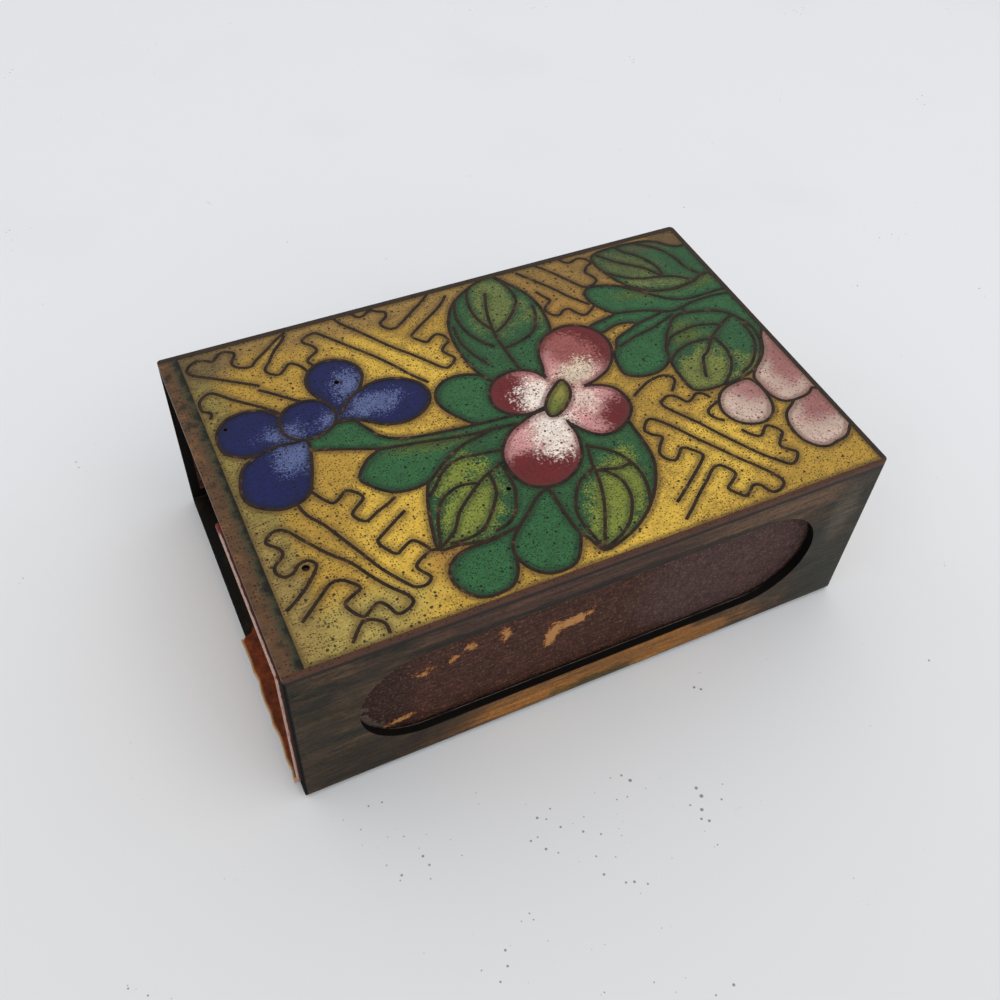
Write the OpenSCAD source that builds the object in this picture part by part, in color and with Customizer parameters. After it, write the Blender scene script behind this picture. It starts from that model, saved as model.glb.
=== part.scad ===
/* [Matchbox] */
// Length of the card cover, with its cut left edge
box_l = 56.4; // [50:0.1:57]
// Width of the card cover over its long sides
box_w = 36.2; // [32:0.1:46]
// Height of the card cover
box_h = 18.3; // [15:0.1:26]
// Thickness of the cover's card
card_t = 0.4; // [0.3:0.05:0.6]
// How far the cut card edge stands out of the open left end
edge_out = 0.3; // [0.1:0.05:0.6]
// How far the torn flap stands out past the cut card edge
flap_out = 0.35; // [0.1:0.05:0.8]
// How deep the cover is torn back at its rear left corner
torn_depth = 3; // [1.5:0.1:4]
// Thickness of a striking strip
strip_t = 0.15; // [0.1:0.01:0.2]
// Height of a striking strip
strip_h = 14.8; // [13.5:0.1:15]
// Length of a striking strip
strip_l = 55.4; // [50:0.1:55.6]

/* [Tray] */
// Length of the sliding tray
tray_l = 52.4; // [50:0.1:53]
// Thickness of the tray's card
tray_t = 0.5; // [0.4:0.05:0.7]
// Gap between the tray and each side of the cover
tray_gap = 0.3; // [0.2:0.05:0.5]
// Gap between the tray's rim and the cover's top
tray_top_gap = 0.5; // [0.3:0.05:1]

/* [Matches] */
// Thickness of a square match stick
stick_t = 1.9; // [1.8:0.1:2.2]
// Length of a match stick
stick_l = 44; // [40:0.5:46]
// Radius of a match head
head_r = 1.45; // [1.4:0.05:1.6]
// Gap between neighbouring match heads
head_gap = 0.4; // [0.2:0.05:0.6]
// Layers of matches in the tray
match_layers = 2; // [1:1:3]

/* [Sleeve] */
// Length of the sleeve
body_l = 58; // [57.5:0.5:64]
// Thickness of the bent metal sheet
sheet_t = 0.8; // [0.6:0.05:1]
// Gap between a striking strip and the sleeve's wall
side_gap = 0.3; // [0.2:0.05:0.6]
// Gap between the card cover and the base plate
top_gap = 0.6; // [0.3:0.05:1]
// Outer radius of the two bends along the floor
bend_r = 1; // [0.9:0.1:1.5]
// Radius of the sleeve's left corners, seen from above
left_corner_r = 0.4; // [0.2:0.1:1.2]
// Radius of the sleeve's right corners, seen from above
right_corner_r = 0.5; // [0.2:0.1:1.2]

/* [Window] */
// Wall left at each end of a window
window_end = 5.7; // [4:0.1:9]
// Wall left below a window
window_below = 4.3; // [3:0.1:5]
// Wall left above a window, up to the base plate
window_above = 2.8; // [2:0.1:4]

/* [Enamelled top] */
// Thickness of the base plate
plate_t = 0.3; // [0.2:0.05:0.5]
// Height of the rim strips and wires above the base plate
wire_h = 0.4; // [0.3:0.05:0.6]
// Thickness of the bent wires
wire_t = 0.3; // [0.2:0.02:0.34]
// How far the enamel lies below the wires
enamel_drop = 0.03; // [0.01:0.01:0.1]
// Width of the flat strip at the left end
rim_left_w = 1.9; // [1:0.1:2.5]
// Width of the strip at the right end
rim_right_w = 0.5; // [0.4:0.05:1]
// Thickness of the strip along the front
rim_front_w = 0.4; // [0.3:0.05:0.6]
// Thickness of the strip along the back
rim_back_w = 0.6; // [0.3:0.05:0.7]

/* [Hidden] */
$fn = 48;

// Cut tools run past the faces that they cut by this much
past = 1;

// The sleeve is worked out round the matchbox that it holds
body_w = box_w + 2 * (strip_t + side_gap + sheet_t);
wall_h = sheet_t + box_h + top_gap;
plate_top = wall_h + plate_t;
body_h = plate_top + wire_h;
left_end = -body_l / 2;
front_face = -body_w / 2;

// The window's half height is also the radius of its round ends
window_r = (wall_h - window_above - window_below) / 2;
window_z = window_below + window_r;
window_x = body_l / 2 - window_end - window_r;

// The enamelled panel inside the rim strips
panel_x0 = left_end + rim_left_w;
panel_x1 = body_l / 2 - rim_right_w;
panel_y0 = front_face + rim_front_w;
panel_y1 = body_w / 2 - rim_back_w;

// The card cover, resting on the sleeve's floor
box_x0 = left_end - edge_out;
box_x1 = box_x0 + box_l;
box_z0 = sheet_t;
card_corner_r = 0.7;
torn_y = -1.4;

// The tray, pushed against the cover's right end
tray_x1 = box_x1 - tray_gap;
tray_x0 = tray_x1 - tray_l;
tray_w = box_w - 2 * (card_t + tray_gap);
tray_z0 = box_z0 + card_t;
tray_h = box_h - 2 * card_t - tray_top_gap;

// Matches lie side by side, heads to the right
match_pitch = 2 * head_r + head_gap;
match_layer = 2 * head_r + 0.1;
match_count = floor((tray_w - 2 * tray_t - head_gap) / match_pitch);
match_z0 = tray_z0 + tray_t + head_r + 0.05;
head_x = tray_x1 - tray_t - head_gap - head_r;

// The ornament is drawn from the left front corner of a top of this length and width
drawn_top = [58, 38.7];
// Steps from one drawn point to the next along a curve
curve_steps = 3;

// Flower centre, drawn as a small pointed leaf
centre = [[31.7, 17.3], [31.8, 18.4], [32.5, 19.5], [33.6, 20.5], [34.9, 21.3], [35.2, 20.2],
    [34.7, 18.9], [33.6, 17.8], [32.5, 17.2]];

// Petals of the pink flower, which run together in the middle
pink_upper_right = [[33.7, 22.3], [34.1, 23.6], [34.5, 25.3], [35.4, 26.8], [36.8, 27.8], [38.4, 28.2],
    [39.9, 27.9], [41.1, 27], [41.8, 25.7], [41.9, 24.1], [41.3, 22.5], [40.3, 21.2], [38.9, 20.3],
    [36.8, 19.7], [34.5, 20.2]];
pink_upper_left = [[33.6, 22.3], [32.9, 23.4], [31.7, 24.1], [30.4, 24.2], [28.9, 23.7], [27.9, 22.6],
    [27.4, 21.1], [27.7, 19.8], [28.6, 18.9], [30.2, 18.3], [33, 19], [34, 20.6]];
pink_right = [[36.8, 19.6], [38, 19.2], [39, 18.5], [39.5, 17.5], [39.6, 16.2], [39.2, 15], [38.1, 13.9],
    [36.6, 13.2], [35.2, 13.2], [34.1, 14], [33.3, 15.2], [32.9, 16.1], [33.2, 18], [34.8, 19.6]];
pink_lower = [[32.9, 15.9], [33, 14.5], [32.6, 12.8], [32, 11.5], [30.9, 10.4], [29.4, 9.6], [27.7, 9.5],
    [26.2, 10.2], [25.4, 11.5], [25.2, 13], [25.4, 14.4], [26.2, 15.8], [27.5, 17], [28.8, 17.6],
    [30.2, 18.1], [32, 18.2], [33.1, 17.2]];
pink_petals = [pink_upper_right, pink_upper_left, pink_right, pink_lower];
pink_middle = [[33.7, 22.2], [34.7, 21.6], [36.7, 19.7], [34.6, 18.2], [33, 16.1], [32.4, 17.3],
    [32.4, 18.4], [33.2, 20]];
last_pink = 4;

// Petals of the blue flower, nearest first
blue_centre = [[8.1, 25.5], [8.4, 26.7], [9.3, 27.7], [10.8, 28.1], [12.1, 27.8], [13, 27.1], [13.4, 26],
    [13.3, 24.9], [12.7, 24], [11.6, 23.4], [10.2, 23.2], [9, 23.6], [8.3, 24.5]];
blue_left = [[2.4, 25.6], [2.5, 26.7], [3.1, 27.8], [4.2, 28.6], [5.7, 28.8], [7, 28.5], [8, 27.7],
    [8.8, 26.4], [9.7, 24.8], [9.9, 23.5], [8.7, 23.3], [7.5, 23.5], [6.1, 23.3], [4.8, 23.1],
    [3.5, 23.6], [2.6, 24.5]];
blue_low = [[4.8, 22.9], [3.6, 22.1], [2.9, 20.6], [2.6, 18.9], [3.1, 17.6], [4.2, 16.7], [5.5, 16.2],
    [7, 16.4], [8.1, 17.1], [8.7, 18.4], [9.2, 19.8], [9.6, 21.2], [9.9, 22.8], [9.5, 23.9], [7, 24.2]];
blue_right = [[12.8, 25.2], [13.8, 25.3], [14.9, 26.4], [16, 27.2], [17.3, 27.8], [18.9, 28],
    [20.6, 27.5], [21.9, 26.5], [22.5, 25.1], [22.2, 23.7], [21, 22.5], [19.2, 21.9], [17.3, 22.2],
    [16, 23.1], [15, 23.8], [13.7, 24.3], [12.8, 24.4]];
blue_top = [[13.2, 24.9], [14.2, 25.5], [15, 26.3], [16.3, 27.4], [17.2, 28.6], [17.6, 30.1],
    [16.9, 31.6], [15.7, 32.4], [14.3, 32.5], [13.2, 32], [12.4, 31], [12.1, 29.8], [12.3, 28.6],
    [12.8, 27.4], [13.1, 26.4]];
blue_petals = [blue_centre, blue_left, blue_low, blue_right, blue_top];

// Leaves, nearest first
leaf_top = [[35.2, 38.3], [34, 38.1], [32.3, 37.4], [30, 35.9], [28.5, 33.8], [27.7, 31.5], [27.5, 29.1],
    [27.6, 26.8], [28, 25], [28.9, 23.4], [31, 22], [34, 22], [35.3, 25.8], [37.2, 28], [37.8, 30.3],
    [37.9, 32.6], [37.4, 34.7], [36.4, 36.6], [35.7, 37.9]];
leaf_stem = [[9, 22.2], [9.4, 23.2], [11.5, 23.7], [13, 24.2], [14.6, 23.9], [15.1, 23.1], [15.6, 22.1],
    [16.2, 21.1], [17.3, 20.3], [19.2, 19.7], [22.8, 19.2], [25, 19], [27.3, 18.8], [29.4, 18.7],
    [30.8, 18.5], [30.8, 17.9], [29.2, 17.6], [27.6, 17.7], [26, 17.9], [24.3, 18], [21.8, 18.4],
    [19.4, 18.9], [17.1, 19.3], [15.6, 19.6], [13.6, 20.4], [11.6, 21.2]];
leaf_low_right = [[28.7, 1.3], [28.2, 2.7], [27.6, 4.3], [27.5, 6.2], [27.5, 8], [27.6, 9.8], [29, 12],
    [31.5, 16.6], [35.5, 16.6], [38, 14.6], [38.2, 12.5], [38.2, 11], [38, 9], [37.2, 7.1], [35.9, 5.2],
    [34.4, 3.7], [32.5, 2.4], [30.5, 1.6]];
leaf_small = [[25.4, 25.7], [24, 25.3], [23, 24.3], [22.7, 23.1], [23, 21.8], [23.8, 20.4], [24.9, 19.1],
    [27.2, 18.4], [29.4, 18.8], [29, 23], [28.1, 24.8], [26.7, 25.5]];
leaf_long = [[14.7, 19.2], [13.6, 18.4], [12.6, 17], [13.1, 15.9], [14.2, 14.7], [15.4, 14.1], [16.9, 14],
    [18.2, 14.3], [19.2, 15], [20.6, 16.1], [22.9, 17.2], [25.6, 17.8], [25.5, 18.5], [22, 19],
    [17, 19.8]];
leaf_drop_right = [[27.3, 9.3], [25.9, 8.7], [24.9, 7.8], [23.5, 6.7], [22.3, 5.6], [21.7, 4.6],
    [21.6, 3.4], [22.1, 2.1], [23.1, 1.1], [24.4, 0.8], [25.9, 1.1], [27, 2.4], [27.8, 4], [28.2, 6],
    [28.2, 8]];
leaf_low_left = [[15.9, 6.9], [16.2, 9], [16.7, 10.9], [17.3, 12.7], [18.2, 14.5], [20, 16.3],
    [22.9, 17.9], [26.6, 18.3], [29.6, 17.9], [30, 13], [28.5, 9.9], [27.2, 8.8], [25.6, 7.4],
    [24.2, 6.6], [22.4, 6.4], [21, 6.2], [19.4, 6.3], [17.6, 6.7]];
leaf_drop_left = [[20.8, 6.1], [19.5, 6.1], [18, 6], [16.7, 5.5], [15.8, 4.4], [15.7, 3.2], [16.2, 2],
    [17.1, 1.1], [18.4, 0.8], [20, 1.1], [21, 2.2], [21.6, 3.7], [22.4, 5], [23.3, 6.9]];
leaf_right = [[50.3, 25.2], [48.6, 23.8], [47.2, 21.9], [46.5, 20.4], [46.1, 18.6], [46, 16.7],
    [46.1, 15.3], [46.8, 14.7], [48.2, 14.5], [50.6, 14.6], [52.5, 14.9], [53.9, 15.6], [55.2, 16.8],
    [56.2, 18.3], [56.7, 19.9], [56.7, 21.1], [56.3, 22.4], [55.5, 23.7], [54.1, 24.6], [52.2, 25.1]];
leaf_corner = [[46.8, 37.1], [46.6, 36], [46.8, 34.6], [47.4, 32.7], [48.2, 31.3], [49.2, 30.3],
    [50.6, 29.5], [52.8, 29.1], [55.2, 29.5], [56.5, 30.1], [58.3, 30.6], [58.3, 35], [56.8, 35.3],
    [55.8, 35.9], [54.9, 36.9], [53.6, 37.5], [51.4, 37.8], [49.1, 37.8], [47.7, 37.6]];
lobe_lower = [[42.3, 23.4], [41.5, 22.4], [41.1, 20.9], [41.1, 19.6], [42.1, 18.8], [43.6, 18.5],
    [45, 18.8], [46.2, 19.7], [47.2, 21.5], [49, 23.5], [51.2, 24.4], [51.4, 26.7], [48.5, 26.1],
    [45.8, 25.6], [45, 25.2], [43.7, 24.8], [42.8, 24.3]];
lobe_upper = [[43.3, 32.1], [44, 32.6], [45, 32.6], [46.3, 32.2], [47.4, 31.6], [48.6, 30.7], [50, 29.8],
    [53, 29.8], [56, 30.3], [58.3, 31], [58.3, 26.7], [55.6, 26.6], [53.3, 26.5], [50.6, 26],
    [49.1, 26.6], [47.7, 27.2], [45.9, 27.7], [44.6, 28], [43.9, 28.9], [43.4, 29.8], [43.1, 31]];
lobe_middle = [[41.2, 27.1], [42.7, 27.5], [44.3, 27.8], [46.5, 28.3], [49, 27.6], [50.6, 26.3],
    [49, 25.2], [46.8, 25], [45.6, 26], [44.4, 26.3], [43.3, 26.2], [42.1, 25.8], [41.2, 26.1]];
lobe_back = [[50.3, 24.4], [50.3, 27], [53, 28], [58.3, 28], [58.3, 19], [56.6, 17.8], [55, 22],
    [53, 24.4]];

// Flower buds, nearest first
bud_left = [[47.2, 11.1], [47.4, 12.3], [48.1, 13.4], [49.2, 14.1], [50.6, 14.4], [52, 14.3],
    [52.5, 13.2], [52.5, 11.7], [52.1, 10.2], [51.3, 9.2], [50, 8.7], [48.7, 9], [47.7, 9.8]];
bud_right = [[52.6, 13.1], [52.7, 14.3], [53.6, 15.3], [55, 16.4], [56, 17.6], [57, 19.4], [58.3, 19.8],
    [58.3, 10.9], [57.2, 10.8], [56.4, 10.3], [55.4, 10.1], [54.2, 10.1], [53.3, 10.5], [52.7, 11.7]];
bud_low = [[54, 9.7], [52.8, 8.9], [52.2, 7.8], [52, 6.5], [52.2, 5.2], [53, 4.1], [54, 3.7], [55.1, 3.9],
    [56.2, 4.1], [57.2, 4.9], [58.3, 6.5], [58.3, 10.6], [56.5, 10.8], [55, 10.4]];

// Each leaf carries its own veins, in the order of the leaves that have them
veins_top = [
    [[31.9, 24], [31.8, 26.5], [31.8, 29.4], [32.1, 31.5], [32.6, 33.5], [33.6, 36]],
    [[31.9, 30.5], [31.2, 32.3], [31.1, 34.1], [31.5, 36], [32.3, 37.6]],
    [[31, 28.1], [29.9, 29.7], [29.3, 31.3], [29.2, 33.4], [29.6, 34.8], [30.2, 36.2]],
    [[29.5, 25.9], [28.7, 27.5], [28.2, 29.4], [28.2, 31], [28.4, 32.4]],
    [[32.1, 30], [33.6, 30.9], [34.9, 32.1], [36, 33.5], [36.3, 35], [36, 36.8], [35.3, 38.4]],
    [[31.8, 27.5], [34, 27.9], [35.7, 28.8], [36.5, 30], [37.1, 31.3], [37.3, 32.4]]
];
veins_low_right = [
    [[28.7, 1.2], [29.7, 3], [30.9, 5.2], [31.7, 7.1], [32.2, 8.8], [32.5, 10.6], [33.2, 12.8]],
    [[32.3, 9.9], [30.6, 9.1], [29.5, 7.9], [28.6, 6.2], [28.4, 4.6], [28.6, 3], [28.7, 1.2]],
    [[32.4, 9.6], [33.2, 9.1], [33.9, 7.9], [34, 6.6], [33.6, 5.1], [32.3, 3.2], [30.9, 2.2],
        [28.9, 1.4]],
    [[33, 12.6], [34.7, 11.3], [35.6, 9.9], [36, 8.2], [35.9, 6.6], [35.3, 4.9], [34.6, 3.6]],
    [[32.9, 9.5], [34.5, 9], [35.9, 9.2]]
];
veins_low_left = [
    [[15.8, 6.8], [17.9, 8.2], [19.1, 9.9], [20.7, 11.3], [22.3, 12.5], [23.7, 13.2], [25.6, 14]],
    [[16.1, 7], [17.1, 9.9], [18, 11.5], [19.1, 12.3], [20.4, 12.7], [21.9, 12.4]],
    [[23.4, 12.9], [23.1, 10.9], [22.3, 9.6], [21.3, 8.4], [20.2, 7.4], [18.7, 7], [17, 7.1]],
    [[24.9, 13.4], [24.8, 10.9], [24.3, 9.4], [23.7, 8.2], [22.6, 7.2], [21.2, 6.8]],
    [[17.4, 12.6], [18.4, 13.5], [19.3, 14.5], [20.4, 15.3], [21.8, 15.7], [23.4, 15.5], [25.6, 15.2]]
];
veins_right = [
    [[56.4, 23.4], [55, 22.8], [53.3, 21.8], [51.8, 20.7], [50.5, 19.3], [49.6, 18.7], [48.9, 17.4],
        [48.3, 16.1]],
    [[47.1, 21.5], [48.1, 22.5], [49.6, 22.9], [51.4, 23.1], [53.2, 22.6], [53.9, 22.2]],
    [[46.1, 19.1], [47.1, 20.1], [48.3, 20.7], [49.7, 21], [51.4, 20.9], [52, 20.8]],
    [[52.2, 21.1], [52.4, 19], [52.1, 17.5], [51.3, 16.2], [50.3, 15.2], [49.3, 14.5]],
    [[52, 15.3], [53.4, 15.9], [54.6, 17], [55.6, 18.4], [56.1, 20], [56.2, 21.8]]
];
veins_corner = [
    [[47.2, 37.8], [48.7, 35.7], [50, 34.5], [51.5, 33.1], [52.4, 31.3]],
    [[46.6, 34.6], [48.4, 32.8], [50, 31.9], [51.8, 31.5], [53.6, 30.9], [55.4, 29.4]],
    [[50, 38], [50.6, 36.6], [51.5, 35.7], [52.4, 34.1], [52.7, 32.4], [52.3, 31.4]],
    [[52.1, 37.9], [54.3, 35.9], [55.3, 33.8], [55.6, 31.8], [56.6, 30]]
];
veins_lobe_upper = [[[46.6, 32.2], [48.4, 30.6], [49.9, 29], [51.3, 27.8], [53.3, 27.1], [58.2, 27.2]]];
veins_lobe_lower = [[[42.6, 23.3], [44.7, 24], [46.8, 24.4], [48.7, 25], [50.2, 25.6]]];

// Hooked fret lines of the ground, each one bent wire
fret_wires = [
    // Left, behind the blue flower
    [[12.9, 31.6], [12.6, 32.5], [12.1, 33.2], [11.5, 33.5], [11, 33], [10.2, 32.4], [9.4, 32.9],
        [9.2, 33.6], [9.9, 34.5], [10.8, 35.8], [11.8, 36.8], [12.4, 37.6]],
    [[12.6, 38], [11.6, 37.4], [10.4, 36.4], [8.7, 35.1], [8.1, 34.5], [7, 34.8], [6.5, 35.6],
        [7.1, 36.7], [6.9, 37.2], [6.1, 37.5], [5.4, 37.1], [4.9, 36.6], [4.2, 37], [3.4, 37.2],
        [2.6, 36.7], [2.3, 36], [2.8, 35.3], [4, 34.5], [5.7, 33.3], [8.1, 31.6]],
    [[7.8, 31.1], [8.9, 30.1], [9.9, 29.1], [11.2, 27.9]],
    [[2.6, 29.1], [2.9, 29.7], [2.6, 30.1], [2.2, 30.4], [2.2, 31.4], [2.6, 32], [3.3, 32.4], [3.9, 32.2],
        [5.1, 30.9], [6.6, 29.5], [8, 28.2], [8.9, 27]],
    // Top, between the blue flower and the top leaf
    [[13.7, 32.3], [13.3, 33.1], [13.7, 33.6], [14.6, 34.2], [14.5, 35], [13.7, 36], [14.3, 36.6],
        [15.2, 36.8], [15.7, 36.4], [17.2, 34.4], [19.4, 31.5], [20.9, 29.2], [21.9, 27.4], [23, 25.9]],
    [[17.7, 38.3], [18.1, 37.2], [19.6, 35], [21.5, 32.1], [22.9, 30.3], [24.2, 28.5], [24.9, 27.5],
        [25.5, 27.1], [26.2, 27.5], [26.7, 28.1], [26.3, 28.8], [26, 29.5], [26.4, 30.1], [27.1, 30.6],
        [27, 31.5], [26.4, 32], [25.7, 31.7], [25.1, 31.3], [24.5, 31.8], [24, 32.6], [24.4, 33.1],
        [25.5, 33.9], [27, 34.9], [28.5, 36], [29.6, 37.2]],
    [[19.5, 38.3], [20.1, 37.4], [20.8, 37.5], [21.5, 38], [22.2, 37.5], [22.9, 37.1], [22.6, 36.3],
        [21.8, 35.7], [22.1, 34.8], [22.9, 34.4], [23.9, 35], [25.5, 36.2], [27, 37.3], [28, 38.2]],
    // Top, to the right of the top leaf
    [[38, 37.8], [38.6, 36.9], [39.4, 35.7], [40.5, 34], [41.4, 32.3], [42.4, 30.9], [42.9, 30.2]],
    [[40.3, 38.3], [41.4, 36.8], [42.4, 35.1], [43.3, 33.5], [43.8, 32.9], [44.7, 32.9], [45.5, 33.5],
        [45.3, 34.4], [45, 35.1], [45.6, 35.9], [46.3, 36.3], [46.1, 37.1], [45.3, 37.5], [44.2, 37.2],
        [43.6, 37.6], [43.3, 38.3]],
    [[38.6, 34.2], [39, 33.2], [39.4, 32.4], [38.7, 31.8], [38.2, 31.2], [38.5, 30.3], [39.2, 29.9],
        [39.9, 30.4], [40.6, 30.4], [41, 29.6], [41.6, 28.9], [42.5, 29.3], [43.4, 30]],
    // Lower left field
    [[8.2, 17.2], [8.9, 15.9], [9.5, 15.2], [10.2, 15.5], [11, 16.1], [11.8, 15.5], [12.1, 14.7],
        [11.1, 13.9], [10.6, 13.3], [11, 12.5], [11.6, 12.2], [12.7, 12.8], [13.9, 13.3], [14.7, 13.8]],
    [[6.6, 16.4], [7, 14.8], [8, 13.2], [8.9, 11.2], [9.8, 9.2], [10.8, 6.9], [12.1, 4.8], [12.7, 4.1],
        [13.6, 4], [14.2, 4.6], [13.6, 5.6], [13.6, 6.2], [14.5, 6.8], [15.2, 7.2], [14.8, 8.1],
        [14.2, 8.7], [13.3, 8.3], [12.5, 7.9], [11.9, 8.7], [11.5, 9.7], [12.2, 10.3], [13.6, 11.2],
        [14.9, 12]],
    [[15.3, 7.1], [16.2, 6.9]],
    [[2.3, 6], [3.5, 6.8], [4.6, 7.7], [5.7, 8.9], [6, 9.6], [5.4, 10.2], [4.6, 10], [4, 9.4], [3.2, 9.3],
        [2.7, 10], [2.9, 10.7], [3.8, 11.5], [3.7, 12.3], [2.9, 13.2], [3.3, 13.9], [4, 14.2],
        [4.8, 13.9], [5.8, 12.4], [7.2, 10.3], [8.7, 8.5], [9.6, 6.8], [10.7, 5], [11.8, 3.6],
        [11.9, 2.8], [11.1, 2.3], [10.3, 2.3], [9.9, 3.3], [9.3, 3.9], [8.4, 3.4], [7.8, 3.1], [7.2, 3.7],
        [6.8, 4.8], [7.5, 5.3], [8.5, 5.8], [8.1, 6.5], [7.3, 7.2], [6.4, 7.2], [5.4, 6.4], [4.2, 5.4],
        [3.1, 4.5]],
    [[6.1, 1.1], [6.9, 2.1], [7.6, 2.7], [8.4, 2.5], [9.1, 1.8], [9.1, 0.8]],
    // Lower right field
    [[40.3, 16.5], [41.5, 17.2], [42.8, 17.8], [44.1, 18], [44.9, 17.7], [45.2, 17], [44.6, 16.2],
        [44.1, 15.7]],
    [[47.5, 8.7], [48, 7.8], [48.7, 7.3], [49.3, 7.7], [50, 8.2], [50.6, 7.7], [50.9, 6.9], [50.2, 6.2],
        [49.7, 5.5], [50.2, 4.8], [50.7, 4.2], [50, 3.4], [49.3, 3.2], [48.6, 3.9], [47.7, 5],
        [46.5, 6.9], [45.3, 9], [44.2, 11.1], [43, 13], [42.3, 14.3], [42.5, 14.9], [43.3, 15.3],
        [43.9, 15.1], [44.3, 14.6], [44.7, 13.9], [45.3, 14], [46.1, 14.5], [46.8, 14.2], [47.1, 13.5]],
    [[47.5, 12.8], [46.1, 12.2], [45.8, 11.6], [46.1, 10.9], [46.7, 10.3]],
    [[37.2, 3.4], [38.8, 4.5], [40.6, 5.8], [41.9, 6.8], [42.4, 7.4], [41.8, 8.3], [41.1, 8.9],
        [40.5, 8.4], [39.7, 7.8], [39, 8.3], [38.8, 9.1], [39.4, 10], [40.1, 10.8], [39.4, 11.4],
        [39, 12.1], [39.4, 12.8], [40.1, 13.3], [40.8, 12.8], [41.8, 11.4], [43, 9.3], [44.2, 7.4],
        [45.3, 5.6], [46.4, 4], [47.2, 2.6], [47.4, 1.7], [46.8, 1.1], [45.9, 1], [45.5, 1.5],
        [45.2, 2.2], [44.6, 2.4], [43.9, 1.9], [43.3, 1.6], [42.8, 2.1], [42.3, 3], [43, 3.5],
        [43.9, 4.2], [43.6, 5.1], [43, 5.7], [42.2, 5.5], [41.1, 4.6], [39.7, 3.6], [38.1, 2.3],
        [36.9, 1.4]]
];

// Gas bubbles that burst as the enamel was fired: place and radius of each open pit
pits = [[5.1, 9.5, 0.3], [14.9, 29.3, 0.22], [3.5, 27.3, 0.16], [24.2, 10.7, 0.18]];

// Every closed outline, nearest first, because a nearer one hides what lies under it
outlines = concat(
    [centre], pink_petals, blue_petals,
    [leaf_top, leaf_stem, leaf_low_right, leaf_small, leaf_long],
    [leaf_drop_right, leaf_low_left, leaf_drop_left, leaf_right, leaf_corner],
    [bud_left, bud_right, bud_low, lobe_upper, lobe_lower, lobe_middle, lobe_back]
);

// Places in that list
centre_at = [0];
pink_at = [1:last_pink];
blue_at = [5:9];
leaves_at = concat([for (i = [10:19]) i], [for (i = [23:26]) i]);
green_at = [11, 13, 14, 15, 17, 23, 24, 25, 26];
veined_at = [10, 12, 16, 18, 19];
buds_at = [20:22];
veins_of = [
    [10, veins_top], [12, veins_low_right], [16, veins_low_left], [18, veins_right], [19, veins_corner],
    [23, veins_lobe_upper], [24, veins_lobe_lower]
];

// A drawn point's place on the top
function placed(p) = [(p.x / drawn_top.x - 0.5) * body_l, (p.y / drawn_top.y - 0.5) * body_w];

// A point of a smooth curve that passes from b to c
function between(a, b, c, d, t) =
    0.5 * (2 * b + (c - a) * t + (2 * a - 5 * b + 4 * c - d) * t * t + (3 * b - a - 3 * c + d) * t * t * t);

function open_curve(p) = [
    for (i = [0:len(p) - 2], k = [0:curve_steps - 1])
        between(p[max(i - 1, 0)], p[i], p[i + 1], p[min(i + 2, len(p) - 1)], k / curve_steps),
    p[len(p) - 1]
];

function closed_curve(p) = let (n = len(p)) [
    for (i = [0:n - 1], k = [0:curve_steps - 1])
        between(p[(i + n - 1) % n], p[i], p[(i + 1) % n], p[(i + 2) % n], k / curve_steps)
];

function backwards(p) = [for (i = [len(p) - 1:-1:0]) p[i]];
function square_to(v) = [v.y, -v.x] / norm(v);
function sum_of(v, i = 0) = i == len(v) ? 0 : v[i] + sum_of(v, i + 1);
function turns_left(p) =
    sum_of([for (i = [0:len(p) - 1]) cross(p[i], p[(i + 1) % len(p)])]) > 0;

// A curve moved sideways by d, to the right of its direction
function open_side(p, d) = [
    for (i = [0:len(p) - 1]) p[i] + d * square_to(p[min(i + 1, len(p) - 1)] - p[max(i - 1, 0)])
];

// A closed curve grown outwards by d
function grown(p, d) = let (way = turns_left(p) ? d : -d) [
    for (i = [0:len(p) - 1]) p[i] + way * square_to(p[(i + 1) % len(p)] - p[(i + len(p) - 1) % len(p)])
];

function outline_points(i, d) = grown(closed_curve([for (p = outlines[i]) placed(p)]), d);
function wire_points(p, w) =
    let (c = open_curve([for (q = p) placed(q)]))
    concat(open_side(c, w / 2), backwards(open_side(c, -w / 2)));

function low(p, k) = min([for (q = p) q[k]]);
function high(p, k) = max([for (q = p) q[k]]);
function beyond(a, b, k) = low(a, k) > high(b, k) + 2 * wire_t;
function apart(a, b) = beyond(a, b, 0) || beyond(b, a, 0) || beyond(a, b, 1) || beyond(b, a, 1);

// Outlines that lie over outline i and may hide a piece of it
function over(i) = [for (j = [0:1:i - 1]) if (!apart(outlines[i], outlines[j])) j];
function has(list, i) = len([for (j = list) if (j == i) j]) > 0;

// Flat shapes of the top, seen from above

module panel_shape() {
    translate([panel_x0, panel_y0])
        square([panel_x1 - panel_x0, panel_y1 - panel_y0]);
}

module outline_shape(i, d) {
    polygon(outline_points(i, d));
}

module wire_shape(p) {
    polygon(wire_points(p, wire_t));
}

// The middle of the pink flower, where its petals run together
module pink_middle_shape() {
    polygon([for (p = pink_middle) placed(p)]);
}

module pink_inside() {
    for (i = pink_at) outline_shape(i, -wire_t / 2);
    pink_middle_shape();
}

// All that lies nearer than outline i
module covering_shape(i) {
    for (j = over(i)) outline_shape(j, wire_t / 2);
    if (i > last_pink) pink_middle_shape();
}

// The enamel cell of outline i, with no veins in it yet
module cell_shape(i) {
    difference() {
        intersection() {
            outline_shape(i, -wire_t / 2);
            panel_shape();
        }
        covering_shape(i);
    }
}

// The wire round outline i, as far as it shows
module band_shape(i) {
    difference() {
        intersection() {
            outline_shape(i, wire_t / 2);
            panel_shape();
        }
        outline_shape(i, -wire_t / 2);
        covering_shape(i);
    }
}

module vein_shapes(veins) {
    for (v = veins) wire_shape(v);
}

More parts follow.
